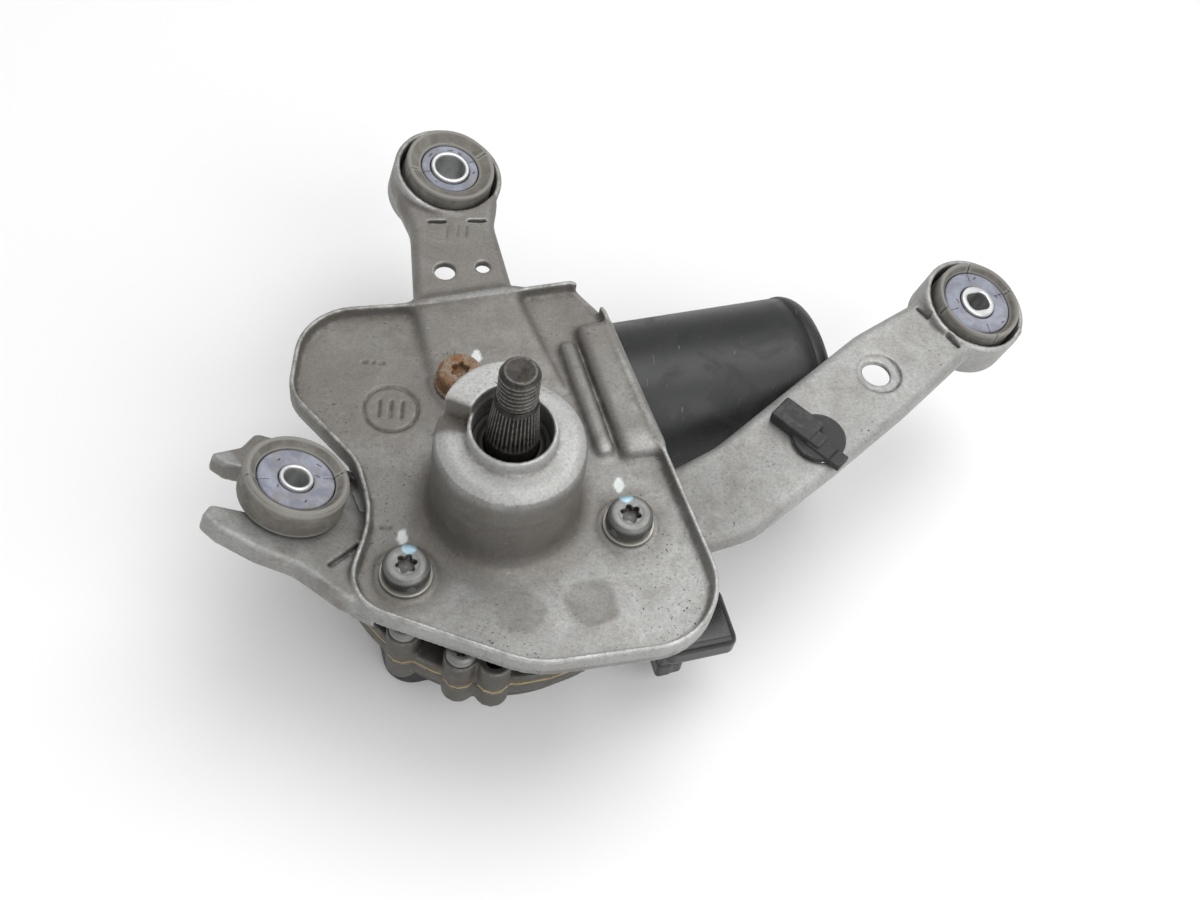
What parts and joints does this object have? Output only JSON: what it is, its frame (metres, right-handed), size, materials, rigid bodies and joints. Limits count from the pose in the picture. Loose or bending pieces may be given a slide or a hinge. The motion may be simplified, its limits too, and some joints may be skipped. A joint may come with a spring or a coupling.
{
  "type": "windshield wiper motor unit",
  "caption": "Gear motor with a threaded, knurled output spindle on a dished cast bracket with arms carrying rubber mounts.",
  "frame": {"origin": "centre of the output spindle's outer end face", "axes": "+Z along the spindle, out of the bracket's plate; the motor lies 16 degrees from +X towards +Y; the top arm points along +Y"},
  "size_m": [0.2268, 0.1716, 0.116],
  "materials": {
    "cast_aluminium": "as-cast, matt, brownish stains",
    "housing_aluminium": "as-cast, matt, dusty",
    "zinc_steel": "zinc plated, matt",
    "rusty_steel": "rusted",
    "brown_rubber": "matt, dusty brown-grey",
    "lavender_disc": "matt lavender grey",
    "black_plastic": "moulded, satin",
    "pale_gasket": "yellowish sealing bead",
    "plain_steel": "ground steel",
    "board_green": "circuit board",
    "bronze": "sintered bronze",
    "black_rubber": "matt black",
    "can_paint": "satin black paint, dusty",
    "ferrite": "dark ceramic magnet",
    "brown_card": "laminated card",
    "carbon": "carbon brush",
    "black_steel": "black oxide",
    "acetal": "natural moulded",
    "copper": "enamelled and bare copper"
  },
  "bodies": {
    "frame": {"mounting_bracket": "cast_aluminium", "washer_left": "zinc_steel", "torx_screw_left": "zinc_steel", "washer_right": "zinc_steel", "torx_screw_right": "zinc_steel", "washer_rear": "rusty_steel", "torx_screw_rear": "rusty_steel", "bushing_left": "brown_rubber", "bushing_disc_left": "lavender_disc", "sleeve_left": "zinc_steel", "bushing_top": "brown_rubber", "bushing_disc_top": "lavender_disc", "sleeve_top": "zinc_steel", "bushing_right": "brown_rubber", "bushing_disc_right": "lavender_disc", "sleeve_right": "zinc_steel", "cable_clip": "black_plastic", "gear_housing_top": "housing_aluminium", "housing_gasket": "pale_gasket", "gear_housing": "housing_aluminium", "housing_screw_1": "zinc_steel", "housing_screw_2": "zinc_steel", "housing_screw_3": "zinc_steel", "housing_screw_4": "zinc_steel", "electronics_box": "black_plastic", "connector_housing": "black_plastic", "connector_pin_1": "plain_steel", "connector_pin_2": "plain_steel", "connector_pin_3": "plain_steel", "circuit_board": "board_green", "spindle_bush_upper": "bronze", "spindle_bush_lower": "bronze", "spindle_seal": "black_rubber", "thrust_washer": "plain_steel", "motor_can": "can_paint", "magnet_lower": "ferrite", "magnet_upper": "ferrite", "brush_card": "brown_card", "brush_a": "carbon", "brush_b": "carbon", "front_bearing": "plain_steel", "rear_bearing": "bronze", "motor_screw_a": "zinc_steel", "motor_screw_b": "zinc_steel"},
    "spindle": {"output_spindle": "black_steel", "worm_wheel": "acetal", "spindle_washer": "plain_steel", "retaining_ring": "black_steel"},
    "armature": {"armature_shaft": "plain_steel", "armature_core": "plain_steel", "armature_windings": "copper", "commutator": "copper"}
  },
  "joints": [
    {"name": "armature_spin", "type": "hinge", "parent": "frame", "child": "armature", "pos_m": [-0.01109, 0.03869, -0.089], "axis": [0.9613, 0.2756, 0], "range_deg": [-500, 4750]},
    {"name": "spindle_sweep", "type": "hinge", "parent": "frame", "child": "spindle", "pos_m": [0, 0, 0], "axis": [0, 0, 1], "range_deg": [-10, 95]}
  ],
  "couplings": [
    {"joint": "spindle_sweep", "follows": "armature_spin", "ratio": 0.02}
  ]
}
